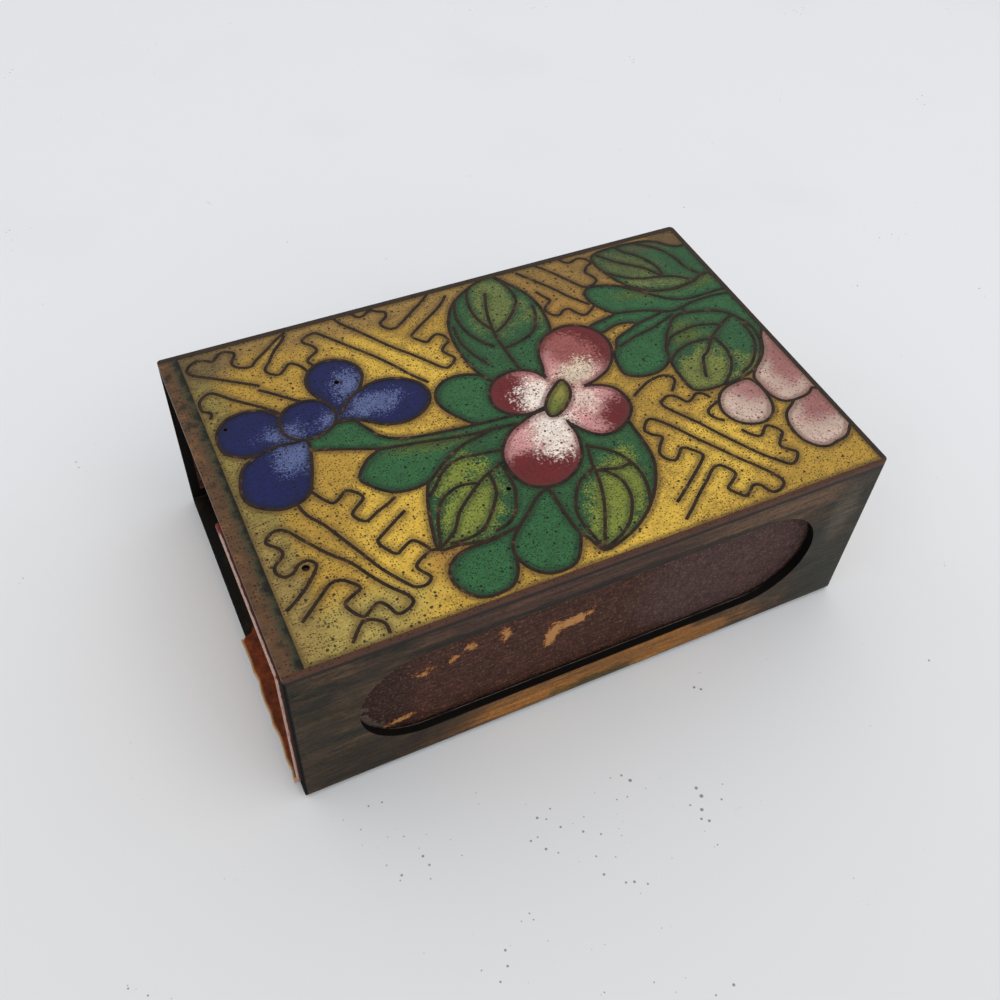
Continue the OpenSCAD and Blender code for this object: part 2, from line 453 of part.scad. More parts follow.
// The panel with every outline cut out
module open_ground_shape() {
    difference() {
        panel_shape();
        for (i = [0:len(outlines) - 1]) outline_shape(i, wire_t / 2);
        pink_middle_shape();
    }
}

module as_wire() {
    translate([0, 0, plate_top])
        linear_extrude(wire_h) children();
}

// A cell filled with enamel, less the open pits in it
module as_enamel() {
    translate([0, 0, plate_top])
        linear_extrude(wire_h - enamel_drop)
            difference() {
                union() {
                    children();
                }
                for (p = pits)
                    translate(placed(p))
                        circle(p.z, $fn = 16);
            }
}

// The sleeve's outline seen from above, with its four rounded corners
module plan_shape() {
    module corner(r) {
        difference() {
            translate([-past, -past])
                square(r + past);
            translate([r, r])
                circle(r);
        }
    }
    difference() {
        translate([left_end, front_face])
            square([body_l, body_w]);
        translate([left_end, front_face])
            corner(left_corner_r);
        translate([left_end, -front_face])
            mirror([0, 1]) corner(left_corner_r);
        translate([-left_end, front_face])
            mirror([1, 0]) corner(right_corner_r);
        translate([-left_end, -front_face])
            rotate(180) corner(right_corner_r);
    }
}

// A rectangle centred on the Y axis, with its lower corners rounded
module low_round_rect(w, h, r) {
    translate([-w / 2, r])
        square([w, h - r]);
    translate([r - w / 2, 0])
        square([w - 2 * r, h]);
    for (side = [-1, 1])
        translate([side * (w / 2 - r), r])
            circle(r);
}

// A shape drawn across the sleeve, run along it from x0 to x1
module along(x0, x1) {
    translate([x0, 0, 0])
        rotate([90, 0, 90])
            linear_extrude(x1 - x0) children();
}

// A box from one corner to the other
module span(a, b) {
    translate(a)
        cube(b - a);
}

module window_cut() {
    for (side = [-1, 1])
        translate([side * window_x, body_w / 2 + past, window_z])
            rotate([90, 0, 0])
                cylinder(r = window_r, h = body_w + 2 * past);
    span([-window_x, -body_w / 2 - past, window_below],
        [window_x, body_w / 2 + past, wall_h - window_above]);
}

// One metal sheet bent into the floor and both side walls
module channel() {
    color("#6e5a3c")
        difference() {
            intersection() {
                along(left_end, -left_end)
                    difference() {
                        low_round_rect(body_w, wall_h, bend_r);
                        translate([0, sheet_t])
                            low_round_rect(body_w - 2 * sheet_t, wall_h, bend_r - sheet_t);
                    }
                linear_extrude(body_h) plan_shape();
            }
            window_cut();
        }
}

// Thin sheet soldered over the walls, which carries the wires and the enamel
module base_plate() {
    color("#5f4b33")
        translate([0, 0, wall_h])
            linear_extrude(plate_t)
                intersection() {
                    plan_shape();
                    translate([left_end, panel_y0])
                        square([body_l, panel_y1 - panel_y0]);
                }
}

// A piece of the sleeve's outline between two corners, run up to the top
module rim_strip(x0, x1, y0, y1, z0) {
    translate([0, 0, z0])
        linear_extrude(body_h - z0)
            intersection() {
                plan_shape();
                translate([x0, y0])
                    square([x1 - x0, y1 - y0]);
            }
}

module rim_left() {
    color("#6e553c")
        rim_strip(left_end, panel_x0, panel_y0, panel_y1, plate_top);
}

module rim_right() {
    color("#6e553c")
        rim_strip(panel_x1, -left_end, panel_y0, panel_y1, plate_top);
}

module rim_front() {
    color("#6a5038")
        rim_strip(left_end, -left_end, front_face, panel_y0, wall_h);
}

module rim_back() {
    color("#6a5038")
        rim_strip(left_end, -left_end, panel_y1, -front_face, wall_h);
}

// Outline of the pink flower and of its centre
module wires_pink() {
    color("#4b3223")
        as_wire() {
            difference() {
                for (i = pink_at) outline_shape(i, wire_t / 2);
                pink_inside();
                outline_shape(0, wire_t / 2);
            }
            band_shape(0);
        }
}

module wires_blue() {
    color("#4b3223")
        as_wire()
            for (i = blue_at) band_shape(i);
}

module wires_buds() {
    color("#4b3223")
        as_wire()
            for (i = buds_at) band_shape(i);
}

module wires_leaves() {
    color("#4b3223")
        as_wire()
            for (i = leaves_at) band_shape(i);
}

// Veins, each group inside its own leaf
module wires_veins() {
    color("#4b3223")
        as_wire()
            for (pair = veins_of)
                intersection() {
                    cell_shape(pair[0]);
                    vein_shapes(pair[1]);
                }
}

module wires_fret() {
    color("#4b3223")
        as_wire()
            intersection() {
                open_ground_shape();
                for (p = fret_wires) wire_shape(p);
            }
}

module enamel_ground() {
    color("#d2aa3c")
        as_enamel()
            difference() {
                open_ground_shape();
                for (p = fret_wires) wire_shape(p);
            }
}

module enamel_pink() {
    color("#d9929f")
        as_enamel()
            difference() {
                pink_inside();
                outline_shape(0, wire_t / 2);
            }
}

module enamel_centre() {
    color("#afb446")
        as_enamel()
            cell_shape(0);
}

module enamel_blue() {
    color("#282a73")
        as_enamel()
            for (i = blue_at) cell_shape(i);
}

// Enamel of the listed leaves, split by the veins of those that have them
module leaf_enamel(list) {
    as_enamel()
        for (i = list)
            difference() {
                cell_shape(i);
                for (pair = veins_of)
                    if (pair[0] == i) vein_shapes(pair[1]);
            }
}

module enamel_green() {
    color("#327d50")
        leaf_enamel(green_at);
}

module enamel_veined() {
    color("#7d9b3c")
        leaf_enamel(veined_at);
}

module enamel_buds() {
    color("#e6c8c3")
        as_enamel()
            for (i = buds_at) cell_shape(i);
}

// A rectangle with four rounded corners, standing on z = 0
module round_rect(w, h, r) {
    low_round_rect(w, h - r, r);
    translate([0, h])
        mirror([0, 1]) low_round_rect(w, h - r, r);
}

// What is torn away at the cover's rear left corner, seen from above
module torn_back_shape() {
    run = box_w / 2 - torn_y;
    shares = [[0.3, 0.02], [0.5, 0.08], [0.9, 0.12], [0.8, 0.26], [1, 0.41], [0.85, 0.62], [1, 0.82],
        [0.9, 1.1]];
    polygon(concat(
        [[box_x0 - 2 * past, run + past], [box_x0 - 2 * past, torn_y], [box_x0, torn_y]],
        [for (s = shares) [box_x0 + s.x * torn_depth, torn_y + s.y * run]]
    ));
}

// The ragged edge of the floor flap, seen from above
module ragged_edge_shape() {
    y0 = -box_w / 2 - past;
    steps = 14;
    run = (torn_y - y0) / steps;
    polygon(concat(
        [[box_x0 - flap_out - past, torn_y + past], [box_x0 - flap_out - past, y0]],
        [for (i = [0:steps]) [
            box_x0 - flap_out * (0.55 + 0.3 * sin(137 * i) + 0.15 * sin(61 * i)),
            y0 + run * i + (i == steps ? past : 0)
        ]]
    ));
}

// Outer card cover of the matchbox: an open tube, cut and torn at its left end
module box_cover() {
    color("#8c5a3c")
        difference() {
            along(box_x0 - flap_out, box_x1)
                translate([0, box_z0])
                    difference() {
                        round_rect(box_w, box_h, card_corner_r);
                        translate([0, card_t])
                            round_rect(box_w - 2 * card_t, box_h - 2 * card_t, card_corner_r - card_t);
                    }
            span([box_x0 - flap_out - past, -box_w / 2 - past, box_z0 + card_corner_r],
                [box_x0, torn_y + past, box_z0 + box_h + past]);
            linear_extrude(body_h) torn_back_shape();
            linear_extrude(body_h) ragged_edge_shape();
        }
}

module striker() {
    x0 = box_x0 + (box_l - strip_l) / 2 + torn_depth / 4;
    span([x0, -box_w / 2 - strip_t, box_z0 + (box_h - strip_h) / 2],
        [x0 + strip_l - torn_depth / 2, -box_w / 2, box_z0 + (box_h + strip_h) / 2]);
}

module striker_front() {
    color("#503c3e") striker();
}

module striker_back() {
    color("#503c3e") mirror([0, 1, 0]) striker();
}

// Card tray that slides in the cover
module tray() {
    color("#c8a578")
        difference() {
            span([tray_x0, -tray_w / 2, tray_z0], [tray_x1, tray_w / 2, tray_z0 + tray_h]);
            span([tray_x0 + tray_t, tray_t - tray_w / 2, tray_z0 + tray_t],
                [tray_x1 - tray_t, tray_w / 2 - tray_t, tray_z0 + tray_h + past]);
        }
}

// Places every match head's centre
module at_matches() {
    for (layer = [0:match_layers - 1], i = [0:match_count - 1])
        translate([head_x, (i - (match_count - 1) / 2) * match_pitch, match_z0 + layer * match_layer])
            children();
}

module stick() {
    translate([-stick_l, -stick_t / 2, -stick_t / 2])
        cube([stick_l, stick_t, stick_t]);
}

module match_sticks() {
    color("#d8b98a")
        at_matches() stick();
}

module match_heads() {
    color("#6e2a22")
        at_matches()
            difference() {
                sphere(head_r);
                stick();
            }
}

channel();
base_plate();
rim_left();
rim_right();
rim_front();
rim_back();
wires_pink();
wires_blue();
wires_buds();
wires_leaves();
wires_veins();
wires_fret();
enamel_ground();
enamel_pink();
enamel_centre();
enamel_blue();
enamel_green();
enamel_veined();
enamel_buds();
box_cover();
striker_front();
striker_back();
tray();
match_sticks();
match_heads();
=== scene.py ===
import math

import bmesh
import bpy
from mathutils import Matrix, Vector

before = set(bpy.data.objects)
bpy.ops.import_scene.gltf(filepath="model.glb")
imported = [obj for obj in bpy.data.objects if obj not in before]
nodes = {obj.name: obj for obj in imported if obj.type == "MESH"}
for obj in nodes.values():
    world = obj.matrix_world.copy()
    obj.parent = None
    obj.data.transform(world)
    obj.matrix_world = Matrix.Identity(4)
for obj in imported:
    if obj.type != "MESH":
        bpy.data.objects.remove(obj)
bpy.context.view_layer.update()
scene = bpy.context.scene
scene.view_settings.view_transform = "Standard"

# Camera. It stands in front of the sleeve's left half and above it, close, and looks down
# across the enamelled top, so that the long front side and the open left end both show.
camera_data = bpy.data.cameras.new("camera")
camera_data.sensor_width = 36
camera_data.lens = 39.0174
camera_data.clip_start = 0.005
camera = bpy.data.objects.new("camera", camera_data)
camera.location = (-0.03511217, -0.06362559, 0.09256295)
camera.rotation_euler = [math.radians(a) for a in (40.3206696, -2.4603759, -25.345578)]
scene.collection.objects.link(camera)
scene.camera = camera


# Bench and light. The holder stands on a smooth pale board under one broad soft lamp,
# with pale walls all round. The lamp and the walls together light a colour as it is written.
def linear(text):
    """The sRGB colour #rrggbb as the four linear numbers that a shader takes."""
    parts = [int(text[i:i + 2], 16) / 255 for i in (1, 3, 5)]
    return [c / 12.92 if c <= 0.04045 else ((c + 0.055) / 1.055) ** 2.4 for c in parts] + [1]


def add(tree, kind, inputs=(), out=0, **settings):
    """Adds a node with its settings, values and links, and gives one of its outputs."""
    made = tree.nodes.new("ShaderNode" + kind)
    for name, value in settings.items():
        setattr(made, name, value)
    for socket, value in dict(inputs).items():
        if isinstance(value, bpy.types.NodeSocket):
            tree.links.new(value, made.inputs[socket])
        elif isinstance(value, str):
            made.inputs[socket].default_value = linear(value)
        else:
            made.inputs[socket].default_value = value
    return made.outputs[out]


wall_light = 0.85
lamp_side = 0.45
lamp_place = Vector((0.05, -0.22, 0.46))
lamp_watts = 0.6
board_colour = "#e8e9ea"

world = bpy.data.worlds.new("pale room")
world.use_nodes = True
room = world.node_tree
room.nodes.clear()
seen = add(room, "Math", {
    0: add(room, "LightPath", out="Is Camera Ray"),
    1: add(room, "LightPath", out="Is Glossy Ray"),
}, operation="MAXIMUM")
seen = add(room, "Math", {0: seen, 1: add(room, "LightPath", out="Is Transmission Ray")}, operation="MAXIMUM")
lighting = add(room, "Background", {"Color": "#fbfcff", "Strength": wall_light})
showing = add(room, "Background", {"Color": board_colour, "Strength": 1.0})
add_shader = add(room, "MixShader", {0: seen, 1: lighting, 2: showing})
room.links.new(add_shader, room.nodes.new("ShaderNodeOutputWorld").inputs["Surface"])
scene.world = world

lamp_data = bpy.data.lights.new("soft lamp", "AREA")
lamp_data.shape = "SQUARE"
lamp_data.size = lamp_side
lamp_data.energy = lamp_watts
lamp = bpy.data.objects.new("soft lamp", lamp_data)
lamp.location = lamp_place
lamp.rotation_euler = lamp_place.to_track_quat("Z", "Y").to_euler()
scene.collection.objects.link(lamp)


def surface(name):
    """An empty material: its tree, its shader, and each point's place in millimetres."""
    material = bpy.data.materials.new(name)
    material.use_nodes = True
    tree = material.node_tree
    metres = add(tree, "TexCoord", out="Object")
    place = add(tree, "VectorMath", {0: metres, "Scale": 1000}, operation="SCALE")
    return material, tree, tree.nodes["Principled BSDF"], place


def laid(tree, below, colour, value, low, high, share=1.0):
    """Lays a colour over what is below it, where a value rises from low to high."""
    mask = add(tree, "MapRange", {"Value": value, "From Min": low, "From Max": high, "To Max": share},
               interpolation_type="SMOOTHSTEP")
    return add(tree, "Mix", {0: mask, 6: below, 7: colour}, out=2, data_type="RGBA")


board_mesh = bpy.data.meshes.new("board")
board_shape = bmesh.new()
bmesh.ops.create_grid(board_shape, x_segments=1, y_segments=1, size=2)
board_shape.to_mesh(board_mesh)
board_shape.free()
board = bpy.data.objects.new("board", board_mesh)
scene.collection.objects.link(board)
# Smooth matt board with specks of dust; painted shade makes it a little greyer towards the near edge
board_paint, tree, shader, place = surface("matt_white_board")
near_side = Vector((0.474, 0.881, 0))
depth = add(tree, "VectorMath", {0: place, 1: near_side}, out="Value", operation="DOT_PRODUCT")
tone = laid(tree, "#dfdfde", board_colour, depth, -80, 30)
cloud = add(tree, "TexNoise", {"Vector": place, "Scale": 1 / 30, "Detail": 4})
tone = laid(tree, tone, "#dcdedf", cloud, 0.5, 0.8, 0.3)
dust = add(tree, "TexVoronoi", {"Vector": place, "Scale": 1 / 0.9}, out="Distance")
dusty = add(tree, "TexNoise", {"Vector": place, "Scale": 1 / 9, "Detail": 3})
swept = add(tree, "VectorMath", {0: place, 1: (-8, -36, 0)}, out="Value", operation="DISTANCE")
swept = add(tree, "MapRange", {"Value": swept, "From Min": 4, "From Max": 26, "To Min": 0.16, "To Max": 0})
dusty = add(tree, "Math", {0: dusty, 1: swept}, operation="ADD")
speck = add(tree, "Math", {0: dusty, 1: dust}, operation="SUBTRACT")
tone = laid(tree, tone, "#6f7478", speck, 0.55, 0.62, 0.8)
tree.links.new(tone, shader.inputs["Base Color"])
shader.inputs["Roughness"].default_value = 0.85
shader.inputs["Specular IOR Level"].default_value = 0.2
board.data.materials.append(board_paint)


def dress(material, *names):
    """Gives CAD nodes this material in all their slots."""
    for name in names:
        data = nodes[name].data
        if not data.materials:
            data.materials.append(material)
        for i in range(len(data.materials)):
            data.materials[i] = material


# Enamelled ground. Yellow glass paste, fired between the fret wires and ground flat by hand:
# satin, grainy, full of tiny pits that hold dirt, and brown where it meets the wires.
top_length, top_width = 58, 38.7


def on_top(x, y):
    """A place on the top, given in millimetres from its left front corner."""
    return (x - top_length / 2, y - top_width / 2, 0)


def oval(tree, place, x, y, long, wide, turn=0, upright=False):
    """How far a point lies inside an oval, in millimetres: on the top, or on the front side if upright."""
    centre = (x - top_length / 2, 0, y) if upright else on_top(x, y)
    lean = (0, -math.radians(turn), 0) if upright else (0, 0, math.radians(turn))
    size = (long, 1e4, wide) if upright else (long, wide, 1e4)
    inside = add(tree, "Mapping", {"Vector": place, "Location": centre, "Rotation": lean, "Scale": size},
                 vector_type="TEXTURE")
    share = add(tree, "VectorMath", {0: inside}, out="Value", operation="LENGTH")
    return add(tree, "MapRange", {"Value": share, "From Min": 1, "From Max": 0, "To Min": 0,
                                  "To Max": math.sqrt(long * wide)}, clamp=False)


def shade(tree, colour, value, low, high):
    """Darkens and lightens a colour as a noise value goes from 0.3 to 0.7."""
    amount = add(tree, "MapRange", {"Value": value, "From Min": 0.3, "From Max": 0.7, "To Min": low, "To Max": high})
    grey = add(tree, "CombineXYZ", {0: amount, 1: amount, 2: amount})
    return add(tree, "Mix", {0: 1.0, 6: colour, 7: grey}, out=2, data_type="RGBA", blend_type="MULTIPLY")


def dots(tree, place, spacing, share, radius, crowding):
    """How far a point lies inside scattered dots: one in each chosen cell, up to this radius in mm."""
    along, side, up = (add(tree, "SeparateXYZ", {0: place}, out=axis) for axis in "XYZ")
    unfolded = add(tree, "CombineXYZ", {0: add(tree, "Math", {0: along, 1: up}, operation="ADD"),
                                        1: add(tree, "Math", {0: side, 1: up}, operation="ADD")})
    distance = add(tree, "TexVoronoi", {"Vector": unfolded, "Scale": 1 / spacing}, out="Distance",
                   voronoi_dimensions="2D")
    chance = add(tree, "SeparateColor", {0: distance.node.outputs["Color"]})
    chance = add(tree, "Math", {0: crowding, 1: 0.8, 2: chance}, operation="MULTIPLY_ADD")
    reach = add(tree, "MapRange", {"Value": chance, "From Min": 1.4 - share, "From Max": 1.6 - share / 2,
                                   "To Min": 0, "To Max": radius / spacing})
    return add(tree, "Math", {0: reach, 1: distance}, operation="SUBTRACT")


def enamel(name, base, patches, grime, specks, pits=(), grain_size=0.17, grain_depth=0.2, fine_share=0.5, edge_share=0.8,
           mixing=2.4, scratched=0):
    """Fired enamel: a base colour, patches of others sifted over it, dirt along the wires, specks and pits."""
    material, tree, shader, place = surface(name)
    grain = add(tree, "TexNoise", {"Vector": place, "Scale": 1 / grain_size, "Detail": 2, "Roughness": 0.6})
    mottle = add(tree, "TexNoise", {"Vector": place, "Scale": 1 / 1.1, "Detail": 3})
    drift = add(tree, "TexNoise", {"Vector": place, "Scale": 1 / 6, "Detail": 2})
    wander = add(tree, "Math", {0: grain, 1: 5, 2: -2.5}, operation="MULTIPLY_ADD")
    wander = add(tree, "Math", {0: mottle, 1: mixing, 2: wander}, operation="MULTIPLY_ADD")
    wander = add(tree, "Math", {0: wander, 1: -mixing / 2}, operation="ADD")
    colour = base
    for tint, soft, *where in patches:
        reach = add(tree, "Math", {0: oval(tree, place, *where), 1: wander}, operation="ADD")
        colour = laid(tree, colour, tint, reach, -soft, soft)
    colour = shade(tree, colour, grain, 1 - grain_depth, 1 + grain_depth)
    colour = shade(tree, colour, mottle, 0.87, 1.12)
    colour = shade(tree, colour, drift, 0.95, 1.05)
    if scratched:
        lines = add(tree, "Mapping", {"Vector": place, "Rotation": (0, 0, 0.5), "Scale": (1.1, 8, 1)})
        lines = add(tree, "TexNoise", {"Vector": lines, "Scale": 1, "Detail": 2})
        near_end = add(tree, "MapRange", {"Value": add(tree, "SeparateXYZ", {0: place}), "From Min": -scratched,
                                          "From Max": 6 - scratched, "To Min": 0, "To Max": -0.2})
        lines = add(tree, "Math", {0: lines, 1: near_end}, operation="ADD")
        colour = laid(tree, colour, specks, lines, 0.55, 0.7, 0.6)

    # Brown dirt where the enamel meets a wire, thinning out over half a millimetre
    rounded = add(tree, "Bevel", {"Radius": 0.0011}, samples=8)
    flat = add(tree, "NewGeometry", out="Normal")
    level = add(tree, "VectorMath", {0: rounded, 1: flat}, out="Value", operation="DOT_PRODUCT")
    edge = add(tree, "Math", {0: mottle, 1: 0.16, 2: level}, operation="MULTIPLY_ADD")
    colour = laid(tree, colour, grime, edge, 1.08, 0.93, edge_share)

    # Dark specks: fine ones nearly everywhere, larger ones here and there
    fine = dots(tree, place, 0.24, fine_share, 0.085, mottle)
    colour = laid(tree, colour, specks, fine, -0.06, 0.16, 0.85)
    coarse = dots(tree, place, 0.75, fine_share * 0.65, 0.15, drift)
    colour = laid(tree, colour, specks, coarse, -0.03, 0.06, 0.95)
    depth = add(tree, "Math", {0: fine, 1: coarse}, operation="MAXIMUM")
    for x, y, size in pits:
        colour = laid(tree, colour, "#0c0a08", oval(tree, place, x, y, size + 0.04, size + 0.04), -0.03, 0.02)
    tree.links.new(colour, shader.inputs["Base Color"])

    rough = add(tree, "MapRange", {"Value": mottle, "From Min": 0.3, "From Max": 0.7, "To Min": 0.38, "To Max": 0.52})
    tree.links.new(rough, shader.inputs["Roughness"])
    shader.inputs["Specular IOR Level"].default_value = 0.22
    hollow = add(tree, "MapRange", {"Value": depth, "From Min": -0.03, "From Max": 0.1, "To Min": 0, "To Max": -1})
    height = add(tree, "Math", {0: grain, 1: 0.25, 2: hollow}, operation="MULTIPLY_ADD")
    bump = add(tree, "Bump", {"Height": height, "Distance": 0.00003, "Strength": 0.6})
    tree.links.new(bump, shader.inputs["Normal"])
    return material


gold, tan, dull, shaded = "#d0a93f", "#a27832", "#87773a", "#8a6b33"
yellow_enamel = enamel(
    "fired_yellow_enamel", "#ad8833",
    [
        (gold, 2.5, 15, 11, 4.5, 11, -20), (gold, 2, 34, 2, 7, 2.5, 20), (gold, 2, 44, 7, 7, 4, 40),
        (gold, 2.5, 22, 29, 7, 3, -50), (tan, 1.5, 17, 6.5, 3, 2, 50), (tan, 3, 41, 33, 8, 6, 20),
        ("#917239", 3, 24, 39, 26, 4, 0), (shaded, 3, 44, 38, 8, 6, 0), ("#a4904a", 2, 6, 2, 7, 3, 10),
        (dull, 2.2, 2, 19, 3, 24, 0), ("#937c42", 1, 2.5, 8, 2, 8, 0), ("#6c5a36", 1.5, 3, 37, 4, 3, 0),
        ("#66502f", 1, 56.8, 36.8, 3, 2.6, 0),
    ],
    "#54401f", "#2e200e", [(5.1, 9.5, 0.3)], grain_depth=0.24, fine_share=0.75, scratched=24)
dress(yellow_enamel, "enamel_ground")

# Blue flower. Five petals of royal blue enamel, with grains of white sifted in
# near the flower's middle, so that each petal has a pale lilac heart.
lilac = "#525d86"
blue_enamel = enamel(
    "fired_blue_enamel", "#10164c",
    [(lilac, 0.6, 15.9, 28.7, 1.9, 1.4, 60), (lilac, 0.8, 17, 25.3, 2.4, 1.2, 5), (lilac, 0.8, 8.1, 24.6, 1.5, 1, 0),
     (lilac, 0.7, 8.2, 22, 2.1, 1.6, 70), (lilac, 0.7, 12.5, 24.6, 1.1, 0.7, 50)],
    "#0b0b1c", "#05050c", [(14.9, 29.3, 0.22), (3.5, 27.3, 0.16)], grain_depth=0.3, fine_share=0.6, edge_share=0.65)
dress(blue_enamel, "enamel_blue")

# Pink flower. Cream white enamel at the middle turns grainy pink and then crimson
# at the tips of the petals, where the coloured grains were laid thickest.
crimson, cream, rose = "#651b1e", "#e4d6c8", "#c98f8c"
pink_enamel = enamel(
    "fired_pink_enamel", rose,
    [(crimson, 0.9, 28.4, 11, 5.6, 3.1, -8), (crimson, 0.9, 28.3, 22, 4.5, 3.4, 110), (crimson, 0.9, 39.1, 14.7, 3.4, 3, 20),
     (crimson, 1, 40.4, 25.9, 5.5, 3.6, 120), (crimson, 1, 36, 27.7, 4.2, 2, 15), ("#93524d", 1, 37.6, 24.8, 3.2, 2.2, 120),
     (cream, 0.9, 31.2, 15.4, 2.2, 3, -20), (cream, 0.9, 31.7, 20.2, 1.9, 1.6, 60), ("#cfbda4", 0.8, 36.6, 21.5, 2.1, 1.4, 20),
     ("#d9bdaf", 0.8, 35.5, 18, 1.5, 1.4, 0)],
    "#5a2826", "#5a2826", grain_size=0.22, grain_depth=0.2, fine_share=0.6, edge_share=0.75)
dress(pink_enamel, "enamel_pink")
centre_enamel = enamel("fired_centre_enamel", "#8d863c", [("#66702e", 0.5, 32.6, 18.4, 1, 0.8, 40)], "#3a3416", "#2e2a12")
dress(centre_enamel, "enamel_centre")

# Leaves. Bluish green enamel with dark and pale grains; the veined leaves turn
# to a mottled lime between their veins.
lime, moss = "#757f30", "#4d5c26"
green_enamel = enamel(
    "fired_green_enamel", "#2b5c34",
    [(moss, 1.2, 52.5, 29.8, 6, 1.2, -4), (moss, 1.2, 20, 18.5, 4, 0.8, -10)],
    "#16281a", "#0a140c", grain_depth=0.34, fine_share=0.7, edge_share=0.7)
dress(green_enamel, "enamel_green")
leaf_enamel = enamel(
    "fired_leaf_enamel", "#2a5631",
    [(lime, 0.9, 20.3, 10, 4.6, 2.4, 50), (lime, 0.9, 20.4, 14, 2.6, 1.2, 30), (lime, 1, 32, 5.4, 5, 2.2, 60),
     (lime, 1, 34.8, 7, 3.4, 1.4, 80), ("#626d36", 1.2, 33.6, 34, 4.6, 2.2, 70), ("#626d36", 1, 36.6, 31.4, 2.4, 1, 110),
     ("#6d7436", 0.9, 48.6, 17, 4, 2.6, 30), ("#6d7436", 0.9, 53.2, 15.4, 2, 1.2, 30), (moss, 1.2, 49.5, 22.5, 2, 1.4, 20),
     ("#515a2f", 1.2, 49.6, 34.6, 3.4, 1.8, -40), ("#5f6a38", 0.9, 50.8, 31, 4, 0.9, -15), ("#4b4a2f", 1, 54.6, 37, 4, 1, 0)],
    "#1c2a16", "#0c150b", [(24.2, 10.7, 0.18)], grain_depth=0.34, fine_share=0.7, edge_share=0.7, mixing=5)
dress(leaf_enamel, "enamel_veined")

# Buds. White enamel at the lower left of each bud runs into pink at its upper right.
bud_enamel = enamel(
    "fired_bud_enamel", "#c2a999",
    [("#a2706b", 0.9, 51.4, 13, 2.2, 1.6, -40), ("#96635f", 1.1, 57.4, 16, 4.2, 2, 65), ("#96635f", 1, 57, 9, 3.2, 1.9, 30)],
    "#6b4a3e", "#5c3a34", grain_size=0.24, fine_share=0.5, edge_share=0.75)
dress(bud_enamel, "enamel_buds")

# Wires. Flat brass wire, bent by hand, soldered on edge to the plate, ground level with
# the enamel and since gone dark brown, with a glint of the metal here and there.
wire_metal, tree, shader, place = surface("darkened_brass_wire")
tarnish = add(tree, "TexNoise", {"Vector": place, "Scale": 1 / 0.9, "Detail": 3})
colour = laid(tree, "#2c1d12", "#5d4029", tarnish, 0.58, 0.74)
colour = laid(tree, colour, "#17100a", tarnish, 0.46, 0.34)
tree.links.new(colour, shader.inputs["Base Color"])
shader.inputs["Metallic"].default_value = 0.25
shader.inputs["Roughness"].default_value = 0.5
shader.inputs["Specular IOR Level"].default_value = 0.25
scratch = add(tree, "TexNoise", {"Vector": place, "Scale": 1 / 0.1, "Detail": 2})
bump = add(tree, "Bump", {"Height": scratch, "Distance": 0.00001, "Strength": 0.5})
tree.links.new(bump, shader.inputs["Normal"])
dress(wire_metal, "wires_pink", "wires_blue", "wires_buds", "wires_leaves", "wires_veins", "wires_fret")

# Rims. Copper strips soldered round the plate's edge to hold the enamel in, filed flat
# and gone brown, with green and black grime where they meet the enamel.
rim_metal, tree, shader, place = surface("filed_copper_rim")
cloud = add(tree, "TexNoise", {"Vector": place, "Scale": 1 / 1.6, "Detail": 5, "Roughness": 0.6})
file_marks = add(tree, "Mapping", {"Vector": place, "Scale": (0.6, 5, 5)})
file_marks = add(tree, "TexNoise", {"Vector": file_marks, "Scale": 1, "Detail": 3})
colour = laid(tree, "#5c412a", "#7d5835", cloud, 0.5, 0.7)
colour = laid(tree, colour, "#33291c", cloud, 0.46, 0.32)
across = add(tree, "SeparateXYZ", {0: place}, out="X")
ragged = add(tree, "Math", {0: cloud, 1: 2.4, 2: across}, operation="MULTIPLY_ADD")
band = laid(tree, "#3b3a26", "#15140d", ragged, -26.5, -25.9)
inward = add(tree, "MapRange", {"Value": ragged, "From Min": -27.0, "From Max": -26.3})
beyond = add(tree, "MapRange", {"Value": across, "From Min": -26.8, "From Max": -26.7, "To Min": 1, "To Max": 0})
inward = add(tree, "Math", {0: inward, 1: beyond}, operation="MULTIPLY")
colour = add(tree, "Mix", {0: inward, 6: colour, 7: band}, out=2, data_type="RGBA")
deep = add(tree, "SeparateXYZ", {0: place}, out="Y")
colour = laid(tree, colour, "#2b2119", across, 28.2, 28.4, 0.9)
colour = laid(tree, colour, "#2b2119", deep, 18.6, 18.8, 0.9)
high = add(tree, "SeparateXYZ", {0: place}, out="Z")
colour = laid(tree, "#4f3122", colour, deep, -19.0, -18.9)
colour = laid(tree, "#1f150f", colour, high, 19.9, 20.05)
colour = shade(tree, colour, file_marks, 0.78, 1.2)
pock = dots(tree, place, 0.3, 0.65, 0.1, cloud)
colour = laid(tree, colour, "#1b130c", pock, -0.05, 0.12, 0.8)
tree.links.new(colour, shader.inputs["Base Color"])
shader.inputs["Metallic"].default_value = 0.2
shader.inputs["Roughness"].default_value = 0.52
shader.inputs["Specular IOR Level"].default_value = 0.25
bump = add(tree, "Bump", {"Height": file_marks, "Distance": 0.00002, "Strength": 0.5})
tree.links.new(bump, shader.inputs["Normal"])
dress(rim_metal, "rim_left", "rim_right", "rim_front", "rim_back", "base_plate")

